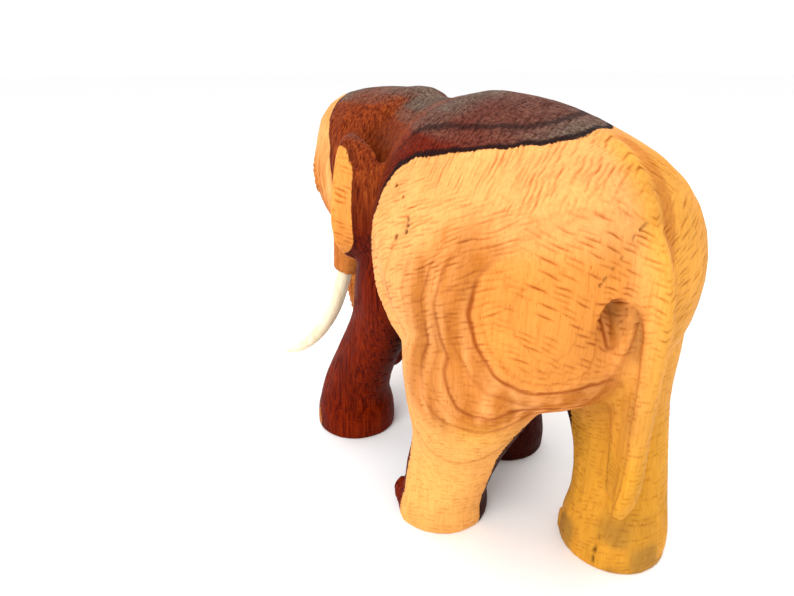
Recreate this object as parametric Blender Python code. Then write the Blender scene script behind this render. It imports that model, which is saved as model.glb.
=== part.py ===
"""Carved wooden elephant, walking, with two inset tusks and two bead eyes.

The body is one block of wood: torso, head, ears, trunk, four legs and tail.
Each tusk is a separate curved horn whose root sits in a blind round socket,
and each eye is a bead pressed into a shallow round seat.

Design axes: the animal walks towards +X, its left side is +Y, +Z is up.
Lengths are written in millimetres and scaled to metres by MM.
The finished object stands on z = 0 with the origin at the middle of its box.
"""
import bpy
import bmesh
import math
from mathutils import Matrix, Vector

MM = 0.001

# Driving dimensions, in millimetres, measured from the middle of the stance.
BACK_HEIGHT = 150.0
RUMP_X = -72.0
SOLE_RADIUS = 18.0
HIND_LEFT = Vector((-11.0, 22.0, 0.0))
HIND_RIGHT = Vector((-56.0, -21.0, 0.0))
FORE_LEFT = Vector((57.0, 25.0, 0.0))
FORE_RIGHT = Vector((11.0, -25.0, 0.0))
FIT_GAP = 0.3
TUSK_ROOT_RADIUS = 3.4
TUSK_SOCKET_DEPTH = 7.0
TUSK_ROOT = (67.5, 21.5, 77.5)
TUSK_MOUTH = (68.5, 23.5, 70.0)
# The free length: x, y, z and the share of the root radius.
TUSK_CURVE = (
    (69.5, 27.5, 57.0, 1.0),
    (72.5, 31.0, 47.0, 0.97),
    (77.0, 35.5, 38.0, 0.90),
    (81.5, 40.0, 32.0, 0.76),
    (86.5, 43.5, 28.0, 0.52),
    (90.0, 46.5, 26.0, 0.18),
)
EYE = (88.0, 25.0, 106.0)
EYE_RADIUS = 1.7

VOXEL = 1.35
SMOOTH_PASSES = 7
BODY_RATIO = 0.066

RING_SIDES = 28
TUSK_SIDES = 12
SOCKET_SIDES = 24
STEPS_PER_SPAN = 5


def clear_scene():
    for obj in list(bpy.data.objects):
        bpy.data.objects.remove(obj, do_unlink=True)


def plain_material(name, colour, roughness):
    material = bpy.data.materials.new(name)
    material.use_nodes = True
    shader = material.node_tree.nodes["Principled BSDF"]
    shader.inputs["Base Color"].default_value = (*colour, 1.0)
    shader.inputs["Roughness"].default_value = roughness
    shader.inputs["Metallic"].default_value = 0.0
    return material


def catmull(keys, span, t):
    """A smooth value between keys[span] and keys[span + 1]; keys are equal-length tuples."""
    last = len(keys) - 1
    k0 = keys[max(span - 1, 0)]
    k1 = keys[span]
    k2 = keys[span + 1]
    k3 = keys[min(span + 2, last)]
    out = []
    for a, b, c, d in zip(k0, k1, k2, k3):
        out.append(0.5 * (2 * b + (c - a) * t + (2 * a - 5 * b + 4 * c - d) * t * t
                          + (3 * b - a - 3 * c + d) * t * t * t))
    return tuple(out)


def smooth_stations(keys):
    """The key stations with STEPS_PER_SPAN stations on each span."""
    stations = []
    for span in range(len(keys) - 1):
        for step in range(STEPS_PER_SPAN):
            stations.append(catmull(keys, span, step / STEPS_PER_SPAN))
    stations.append(tuple(keys[-1]))
    return stations


def skin_rings(bm, rings):
    """Close a row of rings, each a list of points, into one capped tube."""
    loops = [[bm.verts.new(point * MM) for point in ring] for ring in rings]
    count = len(loops[0])
    for lower, upper in zip(loops, loops[1:]):
        for i in range(count):
            j = (i + 1) % count
            bm.faces.new((lower[i], lower[j], upper[j], upper[i]))
    bm.faces.new(list(reversed(loops[0])))
    bm.faces.new(loops[-1])


def ring_points(centre, side, up, down, square_up=0.0, square_down=0.0):
    """A closed ring of two half ellipses; squareness pushes a half's corners out, or in below zero."""
    points = []
    for i in range(RING_SIDES):
        angle = 2 * math.pi * i / RING_SIDES
        c = math.cos(angle)
        s = math.sin(angle)
        squareness = square_up if s >= 0 else square_down
        bulge = 1.0 + squareness * (2 * c * s) ** 2
        rise = up if s >= 0 else down
        points.append(centre + side * (c * bulge) + rise * (abs(s) * bulge))
    return points


def polygon_ring(corners):
    """A closed ring of points spaced evenly along each side of a polygon."""
    points = []
    for start, end in zip(corners, corners[1:] + corners[:1]):
        for i in range(STEPS_PER_SPAN):
            points.append(start.lerp(end, i / STEPS_PER_SPAN))
    return points


def barrel(bm, keys):
    """Loft along +X. Keys: x, top z, bottom z, half width, z of the widest line, squareness up, down."""
    rings = []
    for x, top, bottom, half_width, widest, square_up, square_down in smooth_stations(keys):
        rings.append(ring_points(Vector((x, 0, widest)), Vector((0, half_width, 0)),
                                 Vector((0, 0, top - widest)), Vector((0, 0, bottom - widest)),
                                 square_up, square_down))
    skin_rings(bm, rings)


def limb(bm, keys, side_hint=Vector((0, 1, 0))):
    """Loft along a bent path. Keys: x, y, z, half width across side_hint, half depth."""
    stations = smooth_stations(keys)
    centres = [Vector(station[:3]) for station in stations]
    rings = []
    for i, station in enumerate(stations):
        ahead = centres[min(i + 1, len(centres) - 1)]
        behind = centres[max(i - 1, 0)]
        tangent = (ahead - behind).normalized()
        side = (side_hint - tangent * side_hint.dot(tangent)).normalized()
        depth = tangent.cross(side)
        rings.append(ring_points(centres[i], side * station[3], depth * station[4], depth * -station[4]))
    skin_rings(bm, rings)


def ball(bm, centre, radii):
    """An ellipsoid, lengths in millimetres."""
    matrix = Matrix.Translation(Vector(centre) * MM) @ Matrix.Diagonal((*(Vector(radii) * MM), 1.0))
    bmesh.ops.create_uvsphere(bm, u_segments=24, v_segments=14, radius=1.0, matrix=matrix)


def torso(bm):
    barrel(bm, [
        (RUMP_X + 1.0, 113.0, 84.0, 12.0, 98.0, 0.0, 0.0),
        (RUMP_X + 4.0, 125.0, 74.0, 27.0, 99.0, 0.0, 0.0),
        (-60.0, 135.5, 64.0, 38.0, 99.0, 0.0, 0.04),
        (-46.0, 142.5, 56.0, 43.5, 98.0, -0.02, 0.04),
        (-26.0, 148.0, 52.0, 46.0, 96.0, -0.04, 0.02),
        (-5.0, BACK_HEIGHT, 51.0, 45.5, 97.0, -0.02, -0.02),
        (8.0, 148.5, 53.0, 41.0, 102.0, 0.0, -0.10),
        (20.0, 146.0, 57.0, 32.5, 107.0, 0.0, -0.12),
        (38.0, 146.5, 64.0, 26.0, 109.0, 0.0, -0.06),
        (56.0, 145.0, 78.0, 23.0, 112.0, 0.0, 0.0),
    ])


def head(bm):
    barrel(bm, [
        (30.0, 141.0, 84.0, 12.0, 114.0, 0.0, 0.0),
        (40.0, 149.0, 78.0, 21.0, 114.0, 0.02, 0.0),
        (56.0, 148.5, 74.0, 28.0, 112.0, 0.08, 0.0),
        (74.0, 148.0, 76.0, 29.5, 111.0, 0.10, 0.0),
        (90.0, 145.0, 82.0, 27.0, 112.0, 0.10, 0.0),
        (101.0, 138.0, 90.0, 20.0, 114.0, 0.06, 0.0),
        (107.0, 127.0, 100.0, 10.0, 115.0, 0.0, 0.0),
    ])


def snout(bm):
    """The trunk of the animal, hanging and curling back under at its tip."""
    limb(bm, [
        (84.0, 0.0, 112.0, 18.0, 19.0),
        (90.5, 0.0, 94.0, 15.5, 15.0),
        (94.0, 0.0, 78.0, 13.5, 12.5),
        (94.5, 0.0, 62.0, 12.0, 11.0),
        (91.5, 0.0, 46.0, 10.8, 10.2),
        (84.5, 0.0, 33.0, 9.3, 9.0),
        (75.0, 0.0, 24.5, 8.0, 7.5),
        (65.0, 0.0, 21.0, 6.5, 6.0),
    ])


def lower_jaw(bm):
    limb(bm, [
        (56.0, 0.0, 88.0, 15.0, 13.0),
        (66.0, 0.0, 78.0, 12.0, 10.0),
        (73.0, 0.0, 68.0, 8.0, 7.0),
        (76.0, 0.0, 62.0, 5.0, 4.5),
    ])


def tusk_sheath(bm, side):
    """The lip that swells round the root of one tusk."""
    limb(bm, [
        (69.0, side * 17.0, 100.0, 10.0, 12.0),
        (69.0, side * 19.5, 87.0, 8.0, 9.5),
        (68.5, side * 22.0, 75.0, 6.4, 7.0),
        (69.0, side * 23.3, 70.0, 5.8, 6.0),
    ])


def ear(bm, side):
    """A flap hinged on the side of the head, thickest at its free rim, which is cut off flat behind."""
    keys = [
        # z, hinge x y, outer edge of the rim x y, inner edge of the rim x y, foot on the neck x y
        (134.0, 50.0, 26.0, 35.0, 37.5, 34.0, 36.5, 33.0, 33.0),
        (130.0, 55.0, 25.0, 33.0, 41.0, 31.0, 38.0, 22.0, 31.0),
        (122.0, 58.0, 25.0, 30.5, 44.0, 27.5, 39.5, 16.0, 32.0),
        (111.0, 58.0, 25.0, 28.5, 46.5, 25.0, 40.0, 14.0, 33.0),
        (101.0, 55.0, 25.0, 28.5, 46.5, 25.5, 40.5, 15.0, 33.0),
        (94.0, 50.0, 26.0, 31.0, 43.5, 29.0, 40.0, 20.0, 31.0),
        (88.0, 44.0, 29.0, 35.0, 38.0, 34.0, 36.0, 30.0, 30.0),
    ]
    rings = []
    for z, *plan in smooth_stations(keys):
        corners = [Vector((x, side * y, z)) for x, y in zip(plan[0::2], plan[1::2])]
        rings.append(polygon_ring(corners))
    skin_rings(bm, rings)


def leg(bm, sole, stations):
    """One leg on its flat sole. Stations above the foot: x, y, z, half width, half depth."""
    limb(bm, [
        (sole.x, sole.y, -3.0, SOLE_RADIUS - 0.5, SOLE_RADIUS - 0.5),
        (sole.x, sole.y, 3.0, SOLE_RADIUS, SOLE_RADIUS),
        (sole.x - 0.5, sole.y, 10.0, SOLE_RADIUS - 0.6, SOLE_RADIUS - 0.3),
    ] + stations)


def toes(bm, sole):
    """The low swelling of the toes on the front and outer side of a hind foot."""
    outward = math.copysign(5.5, sole.y)
    ball(bm, sole + Vector((9.0, outward, 7.0)), (10.0, 11.0, 9.0))


def legs(bm):
    leg(bm, FORE_LEFT, [
        (55.0, 25.0, 21.0, 15.0, 15.0),
        (47.0, 24.0, 38.0, 12.7, 13.5),
        (36.0, 22.5, 58.0, 12.0, 13.5),
        (29.0, 21.0, 78.0, 14.3, 16.0),
        (30.0, 16.0, 100.0, 14.0, 16.0),
    ])
    leg(bm, FORE_RIGHT, [
        (11.0, -25.5, 21.0, 15.0, 15.5),
        (13.5, -25.5, 38.0, 14.0, 14.5),
        (19.0, -24.5, 58.0, 14.0, 15.0),
        (25.0, -21.5, 78.0, 15.5, 17.0),
        (28.0, -16.0, 100.0, 14.0, 16.0),
    ])
    leg(bm, HIND_LEFT, [
        (-15.5, 21.5, 21.0, 15.2, 15.8),
        (-20.5, 21.0, 38.0, 17.2, 17.2),
        (-25.5, 21.5, 56.0, 22.0, 21.5),
        (-29.5, 21.0, 76.0, 24.5, 28.0),
        (-29.0, 16.0, 98.0, 22.0, 27.0),
    ])
    leg(bm, HIND_RIGHT, [
        (-55.5, -22.0, 21.0, 15.5, 16.0),
        (-53.0, -22.0, 38.0, 15.0, 15.5),
        (-49.5, -20.5, 56.0, 16.8, 17.3),
        (-43.0, -20.0, 76.0, 22.0, 24.0),
        (-38.0, -16.0, 98.0, 21.0, 24.0),
    ])
    toes(bm, HIND_LEFT)
    toes(bm, HIND_RIGHT)


def tail(bm):
    """A flat strip down the middle of the rump, lying on the right hind leg, with a flat tuft."""
    limb(bm, [
        (-58.0, 0.0, 128.0, 3.5, 4.0),
        (-68.0, 0.0, 115.0, 5.0, 4.5),
        (-74.0, -0.5, 101.0, 4.8, 4.2),
        (-75.0, -0.5, 80.0, 4.3, 3.4),
        (-74.3, -1.5, 60.0, 3.9, 3.2),
        (-73.8, -2.4, 44.0, 4.3, 3.0),
        (-72.6, -2.4, 35.0, 4.9, 2.8),
        (-71.5, -2.5, 28.0, 1.6, 1.5),
    ])


def tail_bed(bm):
    """Wood left standing between the tail and the leg behind it."""
    limb(bm, [
        (-68.0, -3.0, 84.0, 4.0, 5.0),
        (-68.5, -4.5, 62.0, 4.5, 6.0),
        (-68.5, -6.0, 44.0, 4.5, 6.0),
        (-67.0, -8.0, 30.0, 3.5, 5.0),
    ])


def new_object(name, bm):
    bmesh.ops.recalc_face_normals(bm, faces=bm.faces)
    mesh = bpy.data.meshes.new(name)
    bm.to_mesh(mesh)
    bm.free()
    obj = bpy.data.objects.new(name, mesh)
    bpy.context.collection.objects.link(obj)
    return obj


def hide_cutter(obj):
    obj.hide_render = True
    obj.display_type = 'WIRE'


def carved_block():
    """Every mass of the block laid into each other, made one skin and softened."""
    bm = bmesh.new()
    torso(bm)
    head(bm)
    snout(bm)
    lower_jaw(bm)
    for side in (1, -1):
        tusk_sheath(bm, side)
        ear(bm, side)
    legs(bm)
    tail(bm)
    tail_bed(bm)
    body = new_object("carved_body", bm)
    remesh = body.modifiers.new("one_block", 'REMESH')
    remesh.mode = 'VOXEL'
    remesh.voxel_size = VOXEL * MM
    smooth = body.modifiers.new("softened", 'SMOOTH')
    smooth.factor = 0.5
    smooth.iterations = SMOOTH_PASSES
    fewer = body.modifiers.new("fewer_faces", 'DECIMATE')
    fewer.ratio = BODY_RATIO
    return body


def cut(body, cutter):
    boolean = body.modifiers.new("cut_" + cutter.name, 'BOOLEAN')
    boolean.operation = 'DIFFERENCE'
    boolean.solver = 'EXACT'
    boolean.object = cutter
    hide_cutter(cutter)


def ground_cutter():
    """A slab under z = 0 that leaves the four soles flat and level."""
    bm = bmesh.new()
    matrix = Matrix.Translation((0, 0, -10 * MM)) @ Matrix.Diagonal((0.3, 0.2, 20 * MM, 1.0))
    bmesh.ops.create_cube(bm, size=1.0, matrix=matrix)
    return new_object("ground_cutter", bm)


def horn(name, side, stations, sides):
    """A closed tapering horn through stations x, y, z, radius; side +1 is left, -1 right."""
    bm = bmesh.new()
    points = smooth_stations(stations)
    centres = [Vector((x, side * y, z)) for x, y, z, radius in points]
    rings = []
    for i, point in enumerate(points):
        tangent = (centres[min(i + 1, len(centres) - 1)] - centres[max(i - 1, 0)]).normalized()
        across = tangent.cross(Vector((1, 0, 0))).normalized() * point[3]
        along = tangent.cross(across).normalized() * point[3]
        ring = []
        for k in range(sides):
            angle = 2 * math.pi * k / sides
            ring.append(centres[i] + across * math.cos(angle) + along * math.sin(angle))
        rings.append(ring)
    skin_rings(bm, rings)
    return new_object(name, bm)


def tusk_path(radius_gain, root_gain):
    """The tusk from its root in the block to its tip; the gains turn it into its own socket."""
    root = Vector(TUSK_ROOT)
    mouth = Vector(TUSK_MOUTH)
    inward = (root - mouth).normalized()
    deepest = root + inward * root_gain
    out = [(*deepest, TUSK_ROOT_RADIUS + radius_gain), (*mouth, TUSK_ROOT_RADIUS + radius_gain)]
    return out


def tail_hollow():
    """The small pocket undercut beside the root of the tail, on its left."""
    bm = bmesh.new()
    ball(bm, (-69.5, 9.5, 96.5), (5.5, 4.5, 5.0))
    return new_object("tail_hollow_cutter", bm)


def make_tusk(name, side):
    stations = tusk_path(0.0, 0.0)
    for x, y, z, share in TUSK_CURVE:
        stations.append((x, y, z, TUSK_ROOT_RADIUS * share))
    tusk = horn(name, side, stations, TUSK_SIDES)
    tusk.data.materials.append(plain_material(name + "_resin", (0.86, 0.76, 0.52), 0.35))
    tusk.data.shade_smooth()
    return tusk


def tusk_socket(side):
    """A round blind hole, wider than the tusk by the fit gap and deeper by the same."""
    root, mouth = tusk_path(FIT_GAP, FIT_GAP)
    beyond = Vector(mouth[:3]) + (Vector(mouth[:3]) - Vector(root[:3])).normalized() * TUSK_SOCKET_DEPTH
    name = "socket_cutter_left" if side > 0 else "socket_cutter_right"
    return horn(name, side, [root, (*beyond, root[3])], SOCKET_SIDES)


def eye_centre(side):
    return Vector((EYE[0], side * EYE[1], EYE[2]))


def eye_ball(name, side, radius):
    bm = bmesh.new()
    matrix = Matrix.Translation(eye_centre(side) * MM)
    bmesh.ops.create_uvsphere(bm, u_segments=16, v_segments=10, radius=radius * MM, matrix=matrix)
    return new_object(name, bm)


def make_eye(name, side):
    bead = eye_ball(name, side, EYE_RADIUS)
    bead.data.materials.append(plain_material(name + "_bead", (0.02, 0.015, 0.012), 0.15))
    bead.data.shade_smooth()
    return bead


def main():
    clear_scene()
    body = carved_block()
    body.data.materials.append(plain_material("carved_wood", (0.72, 0.42, 0.16), 0.5))
    body.data.shade_smooth()
    cut(body, ground_cutter())
    cut(body, tail_hollow())
    for side, word in ((1, "left"), (-1, "right")):
        cut(body, tusk_socket(side))
        cut(body, eye_ball("eye_seat_" + word, side, EYE_RADIUS + FIT_GAP))
        make_tusk(word + "_tusk", side)
        make_eye(word + "_eye", side)
    centre_on_box()


def centre_on_box():
    """Shift everything along X so that the origin is under the middle of the box."""
    depsgraph = bpy.context.evaluated_depsgraph_get()
    low = math.inf
    high = -math.inf
    for obj in bpy.context.scene.objects:
        if obj.hide_render:
            continue
        shape = obj.evaluated_get(depsgraph)
        for vertex in shape.data.vertices:
            x = (obj.matrix_world @ vertex.co).x
            low = min(low, x)
            high = max(high, x)
    shift = -(low + high) / 2
    for obj in bpy.context.scene.objects:
        obj.location.x = shift


main()
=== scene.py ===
"""Carved wooden elephant: the finished surface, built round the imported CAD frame.

The body is one block of two-tone hardwood, cut from a log that stood upright. Its growth rings and
the edge of the dark heartwood are upright surfaces, so each curve of the carving cuts them into loops.
Lengths are in millimetres, in the frame's own axes, and become metres where a mesh is written.
"""
import math

import bpy
import numpy as np
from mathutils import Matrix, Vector


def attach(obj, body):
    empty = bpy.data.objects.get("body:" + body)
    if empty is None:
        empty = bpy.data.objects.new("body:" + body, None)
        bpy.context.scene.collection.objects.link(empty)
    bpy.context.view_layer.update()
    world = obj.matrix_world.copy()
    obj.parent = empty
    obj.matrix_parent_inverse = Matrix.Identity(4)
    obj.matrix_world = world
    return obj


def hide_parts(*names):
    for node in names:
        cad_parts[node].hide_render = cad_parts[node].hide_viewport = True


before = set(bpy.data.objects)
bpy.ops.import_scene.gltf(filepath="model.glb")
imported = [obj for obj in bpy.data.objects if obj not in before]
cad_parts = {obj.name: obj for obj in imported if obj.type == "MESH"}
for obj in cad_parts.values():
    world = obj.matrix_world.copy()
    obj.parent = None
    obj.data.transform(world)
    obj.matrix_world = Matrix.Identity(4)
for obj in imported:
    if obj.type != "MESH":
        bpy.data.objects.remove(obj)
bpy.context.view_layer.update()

MM = 0.001

# ---------------------------------------------------------------- driving dimensions
SKIN_VOXEL = 0.42
SKIN_SMOOTHING = 30

CAMERA_PLACE = (-179.4, 127.35, 160.0)
CAMERA_YAW = -29.2
CAMERA_PITCH = -22.0
LENS = 27.2

# the room is brightest on this side and overhead, and dimmer opposite
BRIGHT_SIDE = (0.55, -0.31, 0.775)
BRIGHT_LEVEL = 1.08
DIM_LEVEL = 0.35
FLOOR_REACH = 6.0

# the edge of the heartwood in plan, once round the upright axis of the block
HEARTWOOD_EDGE = [
    (65, 0), (64, 9), (61, 17), (55.5, 25), (52, 32), (51, 40.5), (37, 44.5), (18, 42), (0, 43),
    (-10, 41.5), (-15, 36), (-22, 33), (-30, 30.5), (-37, 28), (-44, 25.3), (-52, 21.5), (-59, 17),
    (-63, 9), (-62, 0), (-58, -9), (-50, -18), (-40, -26), (-28, -32), (-10, -36), (12, -38),
    (32, -37), (49, -31), (59, -20), (64, -9),
]
RING_FLATNESS = 0.8
# growth lines that stand out: distance from the pith, width on the surface, strength
STRONG_RINGS = [(62.5, 0.8, 0.5), (67.5, 0.6, 0.25), (73.2, 0.8, 0.7), (75.3, 0.5, 0.3), (77.0, 0.9, 0.9),
                (79.5, 0.8, 0.4), (83.3, 0.8, 1.25), (85.0, 0.6, 0.3), (88.0, 0.5, 0.25)]

HIND_FEET = [(-25.2, 22.0), (-70.2, -21.0)]
FORE_FEET = [(42.8, 25.0), (-3.2, -25.0)]
EYE_PLACE = np.array((73.8, 25.0, 106.0))
TRUNK_LINE = [(70, 0, 112), (76.5, 0, 94), (80, 0, 78), (80.5, 0, 62), (77.5, 0, 46), (70.5, 0, 33),
              (61, 0, 24.5), (51, 0, 21)]
TAIL_LINE = [(-86.5, 0, 104), (-89.0, -0.5, 92), (-89.2, -0.5, 80), (-88.5, -1.5, 60), (-88.0, -2.4, 44),
             (-86.8, -2.4, 35), (-85.7, -2.5, 28)]
# the scoop beside the root of the tail: its middle and reach in Y and Z, and its depth
SCOOP_MIDDLE = (11.5, 93.0)
SCOOP_REACH = (8.0, 11.5)
SCOOP_DEPTH = 9.0
DOTTED_SEAM = [(-83, 1, 122.5), (-84, 7, 119), (-84, 11, 114), (-84, 14, 111), (-84, 17, 108),
               (-84, 20, 104)]
WORM_HOLES = [((-29.3, 43.9, 110), 1.1), ((-19.5, 38.5, 123.2), 0.7), ((-25.8, 39.6, 121), 0.6),
              ((-24.8, 38.2, 13.0), 0.7), ((-86.0, -3.0, 24.5), 1.0)]
CRACKS = [([(-33.4, 43.2, 111.5), (-33.0, 42.3, 114.5), (-32.0, 41.4, 117.0)], 0.7),
          ([(-35.0, 43.6, 106.0), (-34.5, 43.4, 109.0)], 0.5),
          ([(-77.5, -5.0, 10), (-77.2, -5.0, 5), (-77.6, -5.0, 0)], 0.5),
          ([(-78.0, -5.6, 20), (-77.6, -5.5, 15), (-78.2, -5.2, 11)], 0.4)]
# how deep the tool went, by kind of mark
GOUGE_DEPTH = 0.38
NOTCH_DEPTH = 0.7
SCAR_DEPTH = 0.9
RIB_DEPTH = 0.45
SPINE_HEIGHT = 0.8
CREASE_DEPTHS = (2.6, 2.0)
# cuts that shape both sides alike: a line on the left side, its width and its depth
FOLDS = [([(38, 27, 131), (41, 26, 122), (41, 26, 110), (38, 26, 99), (33, 28, 90)], 1.8, 1.2),
         ([(34, 30, 125), (26, 38, 128)], 1.5, 0.5), ([(36, 30, 114), (22, 43, 115)], 1.5, 0.5),
         ([(34, 30, 103), (22, 43, 100)], 1.5, 0.5),
         ([(-9, 45, 106), (-20, 46, 92), (-28, 44, 80), (-36, 43, 72)], 4.0, 1.4),
         ([(60, 15, 88), (66, 12, 76), (68, 9, 66)], 1.4, 1.0)]

# base colours, linear: the sapwood's, the heartwood's, and what the lines, cuts, painted shade and
# painted sheen do to them
SAP_PALE = (0.82, 0.355, 0.108)
SAP_BROWN = (0.50, 0.165, 0.026)
SAP_ORANGE = (0.74, 0.275, 0.052)
SAP_YELLOW = (0.72, 0.325, 0.046)
SAP_OLIVE = (0.66, 0.30, 0.030)
SAP_GREY = (0.42, 0.20, 0.030)
SAP_LEG = (0.82, 0.395, 0.098)
SAP_FACE = (0.52, 0.170, 0.034)
HEART_RED = (0.115, 0.007, 0.0006)
HEART_ORANGE = (0.150, 0.010, 0.0005)
HEART_BROWN = (0.205, 0.032, 0.006)
# painted shade: the near-black given to heartwood in the recesses, between the legs and on the far side
HEART_SHADE_BLACK = (0.040, 0.004, 0.0015)
# painted sheen: the grey given to the heartwood's upward faces in place of the reflected room light
HEART_SHEEN_GREY = (0.120, 0.070, 0.052)
RING_SHADE = (0.50, 0.30, 0.17, 1.0)
LINE_COLOUR = (0.010, 0.003, 0.003, 1.0)
# scars and painted shade: this colour marks worm holes, cracks and nicks, and also darkens the scoop and
# the tail creases
SCAR_AND_SHADE_COLOUR = (0.020, 0.008, 0.004, 1.0)
# partly painted shade: these darken the gouge beds along with the darker cut wood; the sapwood one also
# darkens the pores
SAP_CUT_AND_SHADE = (0.46, 0.24, 0.10, 1.0)
HEART_CUT_AND_SHADE = (0.35, 0.22, 0.20, 1.0)
SAP_STREAKS = [(0.30, (0.90, 0.82, 0.72)), (0.52, (1.0, 1.0, 1.0)), (0.75, (1.04, 1.07, 1.12))]
HEART_STREAKS = [(0.34, (0.35, 0.25, 0.20)), (0.52, (1.0, 1.0, 1.0)), (0.70, (1.55, 2.2, 2.0))]


# ---------------------------------------------------------------- numbers over the surface
def ramp(value, low, high):
    """0 below low, 1 above high, and a smooth step between."""
    t = np.clip((value - low) / (high - low), 0.0, 1.0)
    return t * t * (3.0 - 2.0 * t)


class Noise:
    """Smooth random values from -1 to 1 in space: seeded numbers on a lattice, blended between them."""

    SIDE = 48

    def __init__(self, seed):
        self.grid = np.random.default_rng(seed).random((self.SIDE,) * 3) * 2.0 - 1.0

    def __call__(self, points, size):
        spots = points / np.asarray(size, float)
        corner = np.floor(spots).astype(int)
        part = spots - corner
        part = part * part * (3.0 - 2.0 * part)
        total = np.zeros(len(points))
        for dx in (0, 1):
            for dy in (0, 1):
                for dz in (0, 1):
                    at = (corner + (dx, dy, dz)) % self.SIDE
                    share = np.abs(1 - dx - part[:, 0]) * np.abs(1 - dy - part[:, 1])
                    share = share * np.abs(1 - dz - part[:, 2])
                    total += share * self.grid[at[:, 0], at[:, 1], at[:, 2]]
        return total


def along_line(points, line):
    """Each point's distance to a line of straight pieces, and how far along it that is, 0 to 1."""
    line = np.asarray(line, float)
    steps = np.linalg.norm(np.diff(line, axis=0), axis=1)
    starts = np.concatenate([[0.0], np.cumsum(steps)])
    best = np.full(len(points), np.inf)
    where = np.zeros(len(points))
    for a, b, start, step in zip(line[:-1], line[1:], starts, steps):
        share = np.clip((points - a) @ (b - a) / step ** 2, 0.0, 1.0)
        gap = np.linalg.norm(points - a - share[:, None] * (b - a), axis=1)
        nearer = gap < best
        best = np.where(nearer, gap, best)
        where = np.where(nearer, start + share * step, where)
    return best, where / starts[-1]


def groove(points, line, width):
    """1 on a line, falling to 0 at about its width, with both ends tapered off."""
    gap, where = along_line(points, line)
    return np.exp(-(gap / width) ** 2) * ramp(where, 0.0, 0.12) * ramp(1.0 - where, 0.0, 0.12)


# ---------------------------------------------------------------- camera, light and floor
def make_camera():
    camera = bpy.data.objects.new("camera", bpy.data.cameras.new("camera"))
    bpy.context.scene.collection.objects.link(camera)
    camera.data.lens = LENS
    camera.data.clip_start = 0.01
    camera.location = Vector(CAMERA_PLACE) * MM
    camera.rotation_euler = (math.radians(90 + CAMERA_PITCH), 0.0, math.radians(CAMERA_YAW - 90))
    bpy.context.scene.camera = camera


def make_lamp(name, place, target, side, watts):
    lamp = bpy.data.objects.new(name, bpy.data.lights.new(name, "AREA"))
    bpy.context.scene.collection.objects.link(lamp)
    lamp.data.shape = "DISK"
    lamp.data.size = side
    lamp.data.energy = watts
    lamp.location = place
    lamp.rotation_euler = (Vector(target) - Vector(place)).to_track_quat("-Z", "Y").to_euler()


def make_studio():
    world = bpy.data.worlds.new("studio")
    bpy.context.scene.world = world
    world.use_nodes = True
    tree = world.node_tree
    back = tree.nodes["Background"]
    back.inputs["Color"].default_value = (1.0, 1.0, 1.0, 1.0)
    heading = tree.nodes.new("ShaderNodeTexCoord").outputs["Generated"]
    toward = tree.nodes.new("ShaderNodeVectorMath")
    toward.operation = "DOT_PRODUCT"
    toward.inputs[1].default_value = BRIGHT_SIDE
    tree.links.new(heading, toward.inputs[0])
    level = tree.nodes.new("ShaderNodeMapRange")
    level.inputs["From Min"].default_value = -0.7
    level.inputs["From Max"].default_value = 0.25
    level.inputs["To Min"].default_value = DIM_LEVEL
    level.inputs["To Max"].default_value = BRIGHT_LEVEL
    tree.links.new(toward.outputs["Value"], level.inputs["Value"])
    tree.links.new(level.outputs["Result"], back.inputs["Strength"])
    make_lamp("key", (-0.45, 0.75, 0.80), (0.0, 0.0, 0.07), 0.7, 8.5)
    make_lamp("top", (0.1, -0.1, 1.0), (0.0, 0.0, 0.07), 1.0, 3.0)
    make_floor()


def make_floor():
    mesh = bpy.data.meshes.new("floor")
    corners = [(x * FLOOR_REACH, y * FLOOR_REACH, 0.0) for x, y in ((-1, -1), (1, -1), (1, 1), (-1, 1))]
    mesh.from_pydata(corners, [], [(0, 1, 2, 3)])
    floor = bpy.data.objects.new("floor", mesh)
    bpy.context.scene.collection.objects.link(floor)
    material, shader = new_material("floor_white")
    shader.inputs["Base Color"].default_value = (0.95, 0.95, 0.95, 1.0)
    shader.inputs["Roughness"].default_value = 0.7
    floor.data.materials.append(material)


# ---------------------------------------------------------------- materials
def new_material(name):
    material = bpy.data.materials.new(name)
    material.use_nodes = True
    return material, material.node_tree.nodes["Principled BSDF"]


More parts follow.
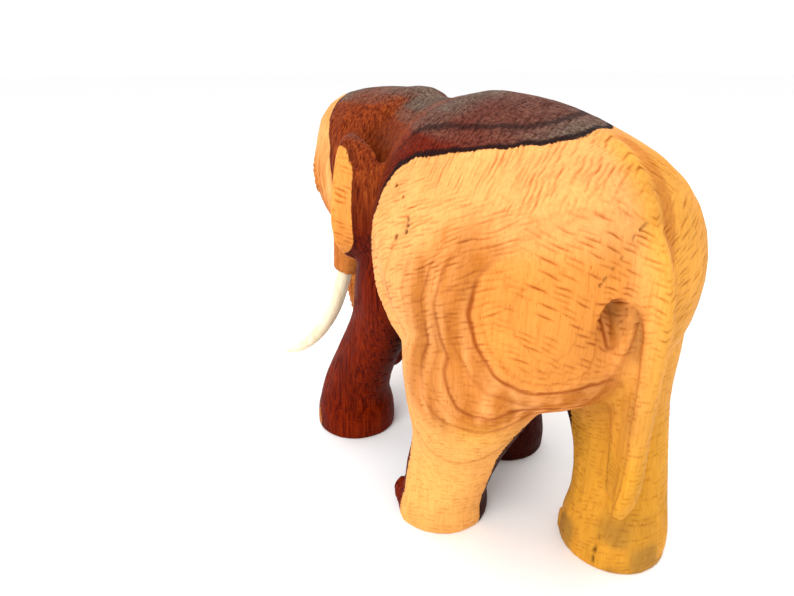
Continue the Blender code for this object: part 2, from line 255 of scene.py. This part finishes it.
class Graph:
    """A material's node tree, with short ways to add the nodes used here."""

    def __init__(self, material):
        self.tree = material.node_tree
        self.shader = self.tree.nodes["Principled BSDF"]

    def node(self, kind, inputs=(), **settings):
        made = self.tree.nodes.new(kind)
        for key, value in settings.items():
            setattr(made, key, value)
        for key, value in dict(inputs).items():
            if isinstance(value, bpy.types.NodeSocket):
                self.tree.links.new(value, made.inputs[key])
            else:
                made.inputs[key].default_value = value
        return made

    def math(self, operation, a, b):
        return self.node("ShaderNodeMath", {0: a, 1: b}, operation=operation).outputs[0]

    def attribute(self, name):
        return self.node("ShaderNodeAttribute", attribute_name=name).outputs["Fac"]

    def tone(self, name):
        return self.node("ShaderNodeAttribute", attribute_name=name).outputs["Color"]

    def place(self, scale):
        """The point in space, in millimetres, stretched by a scale for each axis."""
        spot = self.node("ShaderNodeTexCoord").outputs["Object"]
        size = tuple(1.0 / (MM * s) for s in scale)
        return self.node("ShaderNodeMapping", {"Vector": spot, "Scale": size}).outputs[0]

    def noise(self, size, detail=3.0, rough=0.55):
        """Noise whose lumps have the given size in millimetres along each axis."""
        inputs = {"Vector": self.place(size), "Scale": 1.0, "Detail": detail, "Roughness": rough}
        return self.node("ShaderNodeTexNoise", inputs).outputs["Fac"]

    def step(self, value, low, high):
        """0 to 1 as the value goes from low to high; low may be the greater."""
        inputs = {"Value": value, "From Min": low, "From Max": high}
        return self.node("ShaderNodeMapRange", inputs, interpolation_type="SMOOTHSTEP").outputs[0]

    def mix(self, share, a, b, blend="MIX"):
        made = self.node("ShaderNodeMix", data_type="RGBA", blend_type=blend, clamp_result=False)
        for index, value in ((0, share), (6, a), (7, b)):
            if isinstance(value, bpy.types.NodeSocket):
                self.tree.links.new(value, made.inputs[index])
            else:
                made.inputs[index].default_value = value
        return made.outputs[2]

    def colours(self, value, stops):
        """A colour ramp over the value, from (place, colour) stops."""
        made = self.node("ShaderNodeValToRGB", {"Fac": value})
        marks = made.color_ramp.elements
        while len(marks) < len(stops):
            marks.new(0.5)
        for mark, (place, colour) in zip(marks, stops):
            mark.position = place
            mark.color = (*colour, 1.0)
        return made.outputs["Color"]

    def link(self, value, socket):
        self.tree.links.new(value, self.shader.inputs[socket])


def wood_material():
    """Sapwood and heartwood by depth, with streaks, growth lines, cut fibres, pores and scars, and
    painted shade in the gouge beds, the scoop and the tail creases.
    """
    material, shader = new_material("two_tone_wood")
    g = Graph(material)
    wander = g.math("MULTIPLY", g.math("SUBTRACT", g.noise((9, 9, 26), 4.0), 0.5), 4.0)
    ragged = g.math("MULTIPLY", g.math("SUBTRACT", g.noise((0.6, 0.6, 2.5), 2.0), 0.5), 1.4)
    depth = g.math("ADD", g.math("ADD", g.attribute("heart_depth"), wander), ragged)
    streak = g.noise((0.9, 0.9, 22), 4.0, 0.6)
    # partly painted shade: the gouge beds are darkened in colour as well as cut in relief
    cut = g.math("POWER", g.attribute("tool_cut_shade"), 1.5)
    sap = g.mix(1.0, g.tone("sap_tone"), g.colours(streak, SAP_STREAKS), "MULTIPLY")
    sap = g.mix(g.attribute("ring_line"), sap, RING_SHADE, "MULTIPLY")
    sap = g.mix(g.math("MULTIPLY", cut, 0.95), sap, SAP_CUT_AND_SHADE, "MULTIPLY")
    heart = g.mix(1.0, g.tone("heart_tone"), g.colours(streak, HEART_STREAKS), "MULTIPLY")
    heart = g.mix(g.math("MULTIPLY", cut, 0.8), heart, HEART_CUT_AND_SHADE, "MULTIPLY")
    colour = g.mix(g.step(depth, -0.35, 0.25), sap, heart)
    first = g.math("MULTIPLY", g.step(depth, -0.5, 0.1), g.step(depth, 2.6, 1.0))
    second = g.math("MULTIPLY", g.step(depth, 7.5, 9.0), g.step(depth, 11.5, 10.0))
    on_back = g.math("ADD", 0.25, g.math("MULTIPLY", g.attribute("back_line"), 0.75))
    first = g.math("MULTIPLY", first, on_back)
    second = g.math("MULTIPLY", second, g.attribute("back_line"))
    line = g.math("MAXIMUM", g.math("MULTIPLY", first, 0.95), g.math("MULTIPLY", second, 0.7))
    colour = g.mix(line, colour, LINE_COLOUR)
    pores = g.step(g.noise((0.3, 0.3, 3.0), 2.0), 0.60, 0.74)
    colour = g.mix(g.math("MULTIPLY", pores, 0.55), colour, SAP_CUT_AND_SHADE, "MULTIPLY")
    colour = g.mix(g.attribute("scar_and_shade"), colour, SCAR_AND_SHADE_COLOUR)
    g.link(colour, "Base Color")
    g.link(g.math("ADD", g.math("MULTIPLY", streak, 0.25), 0.36), "Roughness")
    relief = g.math("SUBTRACT", g.noise((0.5, 0.5, 5.0), 3.0), g.math("MULTIPLY", pores, 0.6))
    bump = g.node("ShaderNodeBump", {"Height": relief, "Strength": 0.3, "Distance": 0.0002})
    g.link(bump.outputs[0], "Normal")
    shader.inputs["Specular IOR Level"].default_value = 0.03
    return material


def resin_material():
    material, shader = new_material("ivory_resin")
    g = Graph(material)
    colour = g.colours(g.noise((3, 3, 12), 3.0), [(0.3, (0.80, 0.66, 0.42)), (0.7, (0.92, 0.83, 0.62))])
    g.link(colour, "Base Color")
    g.link(g.math("ADD", g.math("MULTIPLY", g.noise((2, 2, 6)), 0.12), 0.16), "Roughness")
    shader.inputs["Subsurface Weight"].default_value = 0.15
    shader.inputs["Subsurface Scale"].default_value = 0.004
    return material


def bead_material():
    material, shader = new_material("black_bead")
    g = Graph(material)
    colour = g.colours(g.noise((1, 1, 1)), [(0.3, (0.004, 0.003, 0.003)), (0.7, (0.012, 0.009, 0.008))])
    g.link(colour, "Base Color")
    shader.inputs["Roughness"].default_value = 0.08
    return material


# ---------------------------------------------------------------- meshes
def fine_copy(node, name, voxel, passes):
    """A finely remeshed, smoothed copy of a CAD node, as a new object whose mesh is free to change."""
    rough = bpy.data.objects.new(name + "_rough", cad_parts[node].data.copy())
    bpy.context.scene.collection.objects.link(rough)
    remesh = rough.modifiers.new("remesh", "REMESH")
    remesh.mode = "VOXEL"
    remesh.voxel_size = voxel * MM
    smooth = rough.modifiers.new("smooth", "SMOOTH")
    smooth.factor = 0.5
    smooth.iterations = passes
    shown = rough.evaluated_get(bpy.context.evaluated_depsgraph_get())
    mesh = bpy.data.meshes.new_from_object(shown)
    mesh.name = name
    bpy.data.objects.remove(rough)
    mesh.materials.clear()
    mesh.shade_smooth()
    piece = bpy.data.objects.new(name, mesh)
    bpy.context.scene.collection.objects.link(piece)
    return piece


def read_points(mesh):
    flat = np.empty(len(mesh.vertices) * 3, np.float32)
    mesh.vertices.foreach_get("co", flat)
    return flat.reshape(-1, 3).astype(float) / MM


def read_normals(mesh):
    flat = np.empty(len(mesh.vertices) * 3, np.float32)
    mesh.vertex_normals.foreach_get("vector", flat)
    return flat.reshape(-1, 3).astype(float)


def write_points(mesh, points):
    mesh.vertices.foreach_set("co", (points * MM).astype(np.float32).ravel())
    mesh.update()


def write_values(mesh, name, values):
    mesh.attributes.new(name, "FLOAT", "POINT").data.foreach_set("value", values.astype(np.float32))


def heart_depth(points):
    """How far inside the heartwood's edge each point lies; less than 0 in the sapwood.

    The edge is upright, and leans in or out at the belly, ears, cheeks, brow and hind feet.
    """
    edge = np.asarray(HEARTWOOD_EDGE, float)
    turns = np.arctan2(edge[:, 1], edge[:, 0])
    order = np.argsort(turns)
    radius = np.hypot(edge[:, 0], edge[:, 1])
    turn = np.arctan2(points[:, 1], points[:, 0])
    reach = np.interp(turn, turns[order], radius[order], period=2 * math.pi)
    depth = reach - np.hypot(points[:, 0], points[:, 1])
    x, y, z = points.T
    belly = ramp(z, 52, 60) * ramp(-z, -98, -76) * ramp(x, -46, -30)
    ear = ramp(z, 82, 90) * ramp(np.abs(y), 30, 36) * ramp(x, 6, 12)
    cheek = ramp(z, 60, 68) * ramp(-z, -104, -92) * ramp(x, 34, 46)
    brow = ramp(x, 36, 44) * (5.0 * ramp(z, 124, 138) - 2.0 * ramp(-z, -122, -112) * ramp(z, 96, 104))
    hind_foot = ramp(-z, -48, -14) * ramp(-x, 22, 36)
    toes = ramp(-z, -44, -28) * ramp(x, -26, -21) * ramp(-x, -4, 8)
    tips = ramp(0.6 * (x + 25.2) + 0.8 * (y - 22), 14, 16.5) * ramp(-z, -26, -18) * ramp(-x, -4, 8)
    depth += 14.0 * tips
    return depth + 7.0 * belly - 4.5 * ear - 20.0 * cheek + brow - 13.0 * hind_foot + 9.0 * toes


def shell_radius(points):
    """Distance from the pith, measured so that one growth ring keeps one value; it wanders a little."""
    wander = Noise(5)(points, (14, 14, 30)) * 1.3 + Noise(6)(points, (4, 4, 8)) * 0.3
    return np.hypot(points[:, 0], points[:, 1] / RING_FLATNESS) + wander


def ring_line(points, normals, shell):
    """The strong dark growth lines of the sapwood, each with an even width over the carved surface."""
    outward = np.column_stack([points[:, 0], points[:, 1] / RING_FLATNESS ** 2, np.zeros(len(points))])
    outward /= shell[:, None]
    slope = outward - normals * np.sum(outward * normals, axis=1)[:, None]
    slant = np.clip(np.linalg.norm(slope, axis=1), 0.1, 1.0)
    lines = np.zeros(len(points))
    for radius, width, strength in STRONG_RINGS:
        lines = np.maximum(lines, strength * np.exp(-((shell - radius) / (width * slant)) ** 2))
    x, y, z = points.T
    shown = ramp(-z, -117, -104) * (1 - 0.75 * ramp(-y, -2, 4))
    shown *= 1 - 0.9 * ramp(-y, -12, -5) * ramp(-x, 64, 68)
    lines = lines * (0.12 + 0.88 * shown) * (0.85 + 0.4 * Noise(7)(points, (5, 5, 9)))
    return np.clip(lines, 0, 1)


def strokes(points, along, across, pitch, length, seed, waver=1.6, sparse=0.0):
    """Rows of gouge strokes: 1 in a bed, 0 on the ridges; sparse is the share of them left out."""
    along = np.asarray(along, float) / np.linalg.norm(along)
    across = np.asarray(across, float) / np.linalg.norm(across)
    bend = Noise(seed)(points, 11.0) * waver + Noise(seed + 1)(points, 3.5) * waver * 0.3
    rows = (points @ across + bend) / pitch
    row = np.floor(rows)
    bed = (0.5 - 0.5 * np.cos(2 * math.pi * (rows - row))) ** 1.5
    start = np.modf(np.abs(np.sin(row * 12.9898 + seed) * 43758.5453))[0]
    run = (points @ along) / length + start * 7.0
    cell = np.floor(run)
    chance = np.modf(np.abs(np.sin(cell * 78.233 + row * 37.719 + seed) * 24634.6345))[0]
    weight = np.where(chance < sparse, 0.0, 0.3 + 0.7 * chance)
    taper = np.sin(math.pi * (run - cell)) ** 0.7
    return bed * taper * weight


def mirrored(points):
    return np.column_stack([points[:, 0], np.abs(points[:, 1]), points[:, 2]])


def gouge_beds(points, normals):
    """The tool texture: each part of the carving has its own stroke direction, blended at its edge."""
    x, y, z = points.T
    folded = mirrored(points)
    up = ramp(normals[:, 2], 0.35, 0.75) * ramp(z, 118, 128)
    rear = ramp(-normals[:, 0], 0.35, 0.75) * (1 - up)
    low = ramp(-z, -92, -72)
    fore = ramp(x, -8, 6)
    flank = strokes(folded, (-1, 0, 0.55), (0.55, 0, 1), 1.5, 15, 11)
    flank = 0.7 * flank + 0.6 * strokes(folded, (-1, 0, 0.4), (0.4, 0, 1), 1.2, 7, 15, 1.0, 0.5)
    lower = strokes(folded, (-1, 0, 0.35), (0.35, 0, 1), 1.5, 3.0, 21, 1.2, 0.55)
    front = strokes(folded, (0.35, 0, -1), (1, 0, 0.35), 1.5, 11, 51, 1.5, 0.3)
    back = strokes(folded, (0.42, -0.9, 0), (0.9, 0.42, 0), 1.5, 13, 31)
    back = 0.8 * back + 0.6 * strokes(folded, (0.3, -0.9, 0), (0.9, 0.3, 0), 1.1, 6, 35, 1.0, 0.4)
    rump = strokes(folded, (0, -1, -0.5), (0, -0.5, 1), 1.5, 6, 41, 1.4, 0.3)
    shin = strokes(folded, (0, 1, 0.1), (0, -0.1, 1), 1.7, 3.5, 45, 1.2, 0.45)
    sides = (flank * (1 - low) + lower * low) * (1 - fore) + front * fore
    behind = rump * (1 - low) + shin * low
    beds = sides * (1 - rear) + behind * rear
    return beds * (1 - up) + back * up


def leg_notches(points):
    """Saw-tooth nicks down the inner and outer rear corners of the hind legs."""
    total = np.zeros(len(points))
    for foot_x, foot_y in HIND_FEET:
        turn = np.degrees(np.arctan2(points[:, 1] - foot_y, points[:, 0] - foot_x))
        near = ramp(-np.hypot(points[:, 0] - foot_x, points[:, 1] - foot_y), -30, -26)
        height = ramp(points[:, 2], 16, 24) * ramp(-points[:, 2], -66, -54)
        teeth = strokes(points, (1, 0, 0), (0, 0, 1), 2.3, 60, 61, 0.8)
        for corner in (62, -118):
            total += teeth * near * height * ramp(-np.abs(turn - corner), -17, -8)
    return np.clip(total, 0, 1)


def trunk_ribs(points):
    gap, where = along_line(points, TRUNK_LINE)
    on_trunk = ramp(-gap, -17, -13.5) * ramp(-np.abs(points[:, 1]), -13.5, -11.5)
    on_trunk *= ramp(-points[:, 2], -108, -92)
    length = sum(math.dist(a, b) for a, b in zip(TRUNK_LINE, TRUNK_LINE[1:]))
    phase = where * length / 2.3 + Noise(71)(points, 9.0) * 0.35
    return on_trunk * (0.5 - 0.5 * np.cos(2 * math.pi * phase)) * ramp(where, 0.05, 0.25)


def eye_folds(points):
    """The lid round each bead, and fine wrinkles over it; above 0 is a ridge."""
    folded = mirrored(points)
    gap = np.linalg.norm(folded - EYE_PLACE, axis=1)
    lid = 0.75 * np.exp(-((gap - 2.7) / 0.75) ** 2)
    over = ramp(folded[:, 2], EYE_PLACE[2] - 2, EYE_PLACE[2] + 3)
    wrinkles = 0.35 * np.cos((gap - 2.7) * 2 * math.pi / 2.2) * ramp(gap, 3.5, 5) * ramp(-gap, -13, -8)
    brow = 1.3 * np.exp(-(np.linalg.norm(folded - (70.5, 25, 114), axis=1) / 6.5) ** 2)
    dip = 1.2 * np.exp(-(np.linalg.norm(folded - (73, 25, 126), axis=1) / 6.5) ** 2)
    return lid + wrinkles * over + brow - dip


def toe_nails(points):
    """Four nails in relief on the front of each foot; above 0 is a nail, below 0 the cut round it."""
    relief = np.zeros(len(points))
    for foot_x, foot_y in HIND_FEET + FORE_FEET:
        turn = np.degrees(np.arctan2(points[:, 1] - foot_y, points[:, 0] - foot_x))
        near = ramp(-np.hypot(points[:, 0] - foot_x, points[:, 1] - foot_y), -30, -26)
        for nail in (-42, -14, 14, 42):
            gap = np.hypot((turn - nail) / 10.5, (points[:, 2] - 3.0) / 5.2)
            relief += near * (0.5 * ramp(-gap, -0.95, -0.75) - 0.6 * np.exp(-((gap - 1.08) / 0.13) ** 2))
    return relief


def scoop(points):
    """The pocket beside the root of the tail as a smooth scoop: each point's move, and its depth, 0 to 1.

    A plane through the wood round the rim stands in for the surface that the scoop is cut into.
    """
    x, y, z = points.T
    right = (SCOOP_MIDDLE[0] - y) / SCOOP_REACH[0]
    rise = (z - SCOOP_MIDDLE[1]) / SCOOP_REACH[1]
    reach = np.hypot(right, rise)
    rim = (x < -60) & (y > 9) & (reach > 1.0) & (reach < 1.3)
    terms = np.column_stack([np.ones(len(points)), y, z, z ** 2])
    plane = np.linalg.lstsq(terms[rim], x[rim], rcond=None)[0]
    toward = np.clip(0.5 + 0.5 * (0.75 * right + 0.65 * rise), 0, 1)
    deep = ramp(1 - reach, 0.0, 1.0 - 0.75 * toward) * (0.04 + 0.96 * toward ** 2)
    inside = ramp(1 - reach, 0.0, 0.12) * ramp(y, 4.6, 5.4) * (x < -60)
    return inside * (terms @ plane + SCOOP_DEPTH * deep - x), deep * inside


def lower_toes(points):
    """Draw the swelling of the toes on each hind foot down and back, towards the sole."""
    for foot_x, foot_y in HIND_FEET:
        outward = math.copysign(1.0, foot_y)
        ahead = 0.6 * (points[:, 0] - foot_x) + 0.8 * outward * (points[:, 1] - foot_y)
        near = ramp(-np.hypot(points[:, 0] - foot_x, points[:, 1] - foot_y), -32, -28)
        share = ramp(ahead, 10, 17) * near * ramp(-points[:, 2], -26, -15)
        points[:, 0] -= 4.0 * share
        points[:, 2] *= 1 - 0.4 * share


def tail_creases(points):
    """The two cuts that free the edges of the tail from the rump and the leg behind it."""
    left = [(x + 2.2, y + 5.0, z) for x, y, z in TAIL_LINE]
    right = [(x + 2.2, y - 5.0, z) for x, y, z in TAIL_LINE]
    return CREASE_DEPTHS[0] * groove(points, left, 1.5) + CREASE_DEPTHS[1] * groove(points, right, 1.4)


def scars(points):
    """Worm holes, cracks and dark nicks: how deep each is, 0 to 1."""
    total = np.zeros(len(points))
    for place, radius in WORM_HOLES:
        gap = np.linalg.norm(points - place, axis=1) / radius
        total = np.maximum(total, ramp(-gap, -1.3, -0.6))
    for line, width in CRACKS:
        total = np.maximum(total, groove(points, line, width))
    total *= 0.35 + 0.65 * ramp(Noise(82)(points, 0.9), -0.35, 0.15)
    dots = groove(points, DOTTED_SEAM, 0.5)
    return np.maximum(total, 0.55 * dots * ramp(Noise(81)(points, 1.2), 0.1, 0.4))


def carved_shift(points, normals, hollow):
    """Everything that the tools did: one move for each point, the gouge beds, and the dark marks, which
    also carry painted shade in the scoop and the tail creases.
    """
    x, y, z = mirrored(points).T
    above_sole = ramp(z, 0.4, 2.5)
    notches = leg_notches(points)
    creases = tail_creases(points) * (1 - hollow)
    beds = np.clip(gouge_beds(points, normals) + notches * 0.6, 0, 1.2) * above_sole
    marks = scars(points) * above_sole
    out = -GOUGE_DEPTH * beds - NOTCH_DEPTH * notches - SCAR_DEPTH * marks
    out += eye_folds(points) + toe_nails(points) * above_sole - creases - RIB_DEPTH * trunk_ribs(points)
    out += SPINE_HEIGHT * np.exp(-(y / 2.6) ** 2) * ramp(-x, 58, 66) * ramp(z, 104, 112)
    folded = mirrored(points)
    for line, width, depth in FOLDS:
        out -= depth * groove(folded, line, width)
    # painted shade: the scoop and the tail creases are darkened in colour through the scar marks
    shade = np.clip(0.75 * hollow ** 1.5 + 0.4 * creases / CREASE_DEPTHS[0], 0, 0.8)
    return normals * out[:, None], beds, np.clip(np.maximum(marks, shade), 0, 1)


def blend_tone(tone, share, colour):
    return tone + (np.asarray(colour) - tone) * share[:, None]


def sap_tone(points, shell):
    """The sapwood's broad colour: pale on the flank, brown between strong rings, olive on the shank."""
    x, y, z = points.T
    soft = Noise(91)
    tone = np.tile(np.asarray(SAP_PALE), (len(points), 1))
    band = ramp(shell, 66, 72) * ramp(-shell, -85.5, -82) * ramp(-z, -128, -112)
    tone = blend_tone(tone, band * np.clip(0.75 + 0.6 * soft(points, (2.5, 2.5, 22)), 0, 1), SAP_BROWN)
    core = ramp(shell, 82, 85) * ramp(-z, -124, -110) * ramp(y, 2, 12)
    tone = blend_tone(tone, core, SAP_ORANGE)
    right = ramp(-y, -8, 0) * ramp(-x, 58, 74)
    tone = blend_tone(tone, right * 0.9, SAP_YELLOW)
    shank = ramp(-z, -64, -46) * ramp(-x, 50, 60)
    tone = blend_tone(tone, shank, SAP_OLIVE)
    mould = shank * ramp(-z, -26, -16) * ramp(soft(points, (9, 9, 7)), -0.1, 0.45)
    tone = blend_tone(tone, mould, SAP_GREY)
    tone = blend_tone(tone, ramp(-z, -62, -46) * ramp(y, 2, 8) * 0.9, SAP_LEG)
    face = ramp(x, 34, 46) * ramp(-z, -104, -90)
    tone = blend_tone(tone, face, SAP_FACE)
    ear = ramp(z, 80, 86) * ramp(np.abs(y), 30, 36) * ramp(x, 2, 10)
    tone = blend_tone(tone, ear * 0.9, SAP_ORANGE)
    blotch = ramp(soft(points + 50, (16, 16, 11)), -0.1, 0.6) * ramp(x + 0.8 * z, 45, 80)
    tone = blend_tone(tone, blotch * 0.55, SAP_ORANGE)
    # painted shade: a darker band on the far side of the spine ridge, where that side turns from the
    # light
    shade_beside_spine = ramp(-np.abs(y + 5.5), -4.0, -1.5) * ramp(-x, 60, 68) * ramp(z, 96, 112)
    tone = blend_tone(tone, shade_beside_spine * 0.7, SAP_BROWN)
    patches = 1.0 + 0.09 * soft(points, 22.0) + 0.09 * soft(points + 100, (6, 6, 12))
    return tone * patches[:, None]


def heart_tone(points, normals):
    """The heartwood's broad colour: a painted sheen greys the tops, red-brown at the sides, and painted
    shade makes the recesses darkest.
    """
    x, y, z = points.T
    soft = Noise(93)
    tone = np.tile(np.asarray(HEART_RED), (len(points), 1))
    tone = blend_tone(tone, ramp(-z, -84, -60) * 0.8, HEART_ORANGE)
    # painted shade: inner and far-side surfaces low on the body are darkened towards black
    shaded = ramp(-np.abs(y), -33, -20) * ramp(-z, -100, -80) + ramp(-y, 5, 15) * ramp(-z, -100, -80)
    tone = blend_tone(tone, np.clip(shaded, 0, 1) * ramp(-x, -25, -5), HEART_SHADE_BLACK)
    # painted sheen: upward faces on top are greyed, standing in for the bright room reflected at a
    # grazing angle
    top_sheen = ramp(normals[:, 2], 0.6, 0.92) * ramp(z, 130, 142)
    tone = blend_tone(tone, ramp(z, 96, 118) * ramp(x, -16, 4) * 0.9, HEART_BROWN)
    tone = blend_tone(tone, top_sheen * np.clip(0.8 + 0.5 * soft(points, (16, 16, 16)), 0, 1), HEART_SHEEN_GREY)
    return tone * (1.0 + 0.18 * soft(points, (9, 9, 26)))[:, None]


def write_colours(mesh, name, colours):
    rows = np.column_stack([np.clip(colours, 0, 1), np.ones(len(colours))]).astype(np.float32)
    mesh.attributes.new(name, "FLOAT_COLOR", "POINT").data.foreach_set("color", rows.ravel())


def carve_body():
    """The body's skin: the large shapes first, then the colours, then the tool marks."""
    piece = fine_copy("carved_body", "carved_wood_body", SKIN_VOXEL, SKIN_SMOOTHING)
    mesh = piece.data
    points = read_points(mesh)
    sunk, hollow = scoop(points)
    points[:, 0] += sunk
    lower_toes(points)
    write_points(mesh, points)
    normals = read_normals(mesh)
    shell = shell_radius(points)
    shift, beds, marks = carved_shift(points, normals, hollow)
    write_values(mesh, "heart_depth", heart_depth(points))
    write_values(mesh, "ring_line", ring_line(points, normals, shell))
    height = points[:, 2]
    # partly painted shade: the gouge-bed darkening, a little weaker low down
    write_values(mesh, "tool_cut_shade", np.clip(beds, 0, 1) * (1 - 0.4 * ramp(-height, -92, -72)))
    write_values(mesh, "scar_and_shade", marks)
    write_values(mesh, "back_line", ramp(height, 112, 124) * ramp(-points[:, 0], 4, 14))
    write_colours(mesh, "sap_tone", sap_tone(points, shell))
    write_colours(mesh, "heart_tone", heart_tone(points, normals))
    points += shift
    points[:, 2] = np.maximum(points[:, 2], 0.0)
    write_points(mesh, points)
    mesh.materials.append(wood_material())
    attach(piece, "root")
    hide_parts("carved_body")


def finish_small_parts():
    resin = resin_material()
    bead = bead_material()
    for side in ("left", "right"):
        tusk = fine_copy(f"{side}_tusk", f"{side}_ivory_tusk", 0.4, 8)
        tusk.data.materials.append(resin)
        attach(tusk, "root")
        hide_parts(f"{side}_tusk")
        eye = fine_copy(f"{side}_eye", f"{side}_glass_eye", 0.15, 6)
        eye.data.materials.append(bead)
        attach(eye, "root")
        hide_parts(f"{side}_eye")


make_camera()
make_studio()
carve_body()
finish_small_parts()
bpy.context.scene.view_settings.view_transform = "Standard"
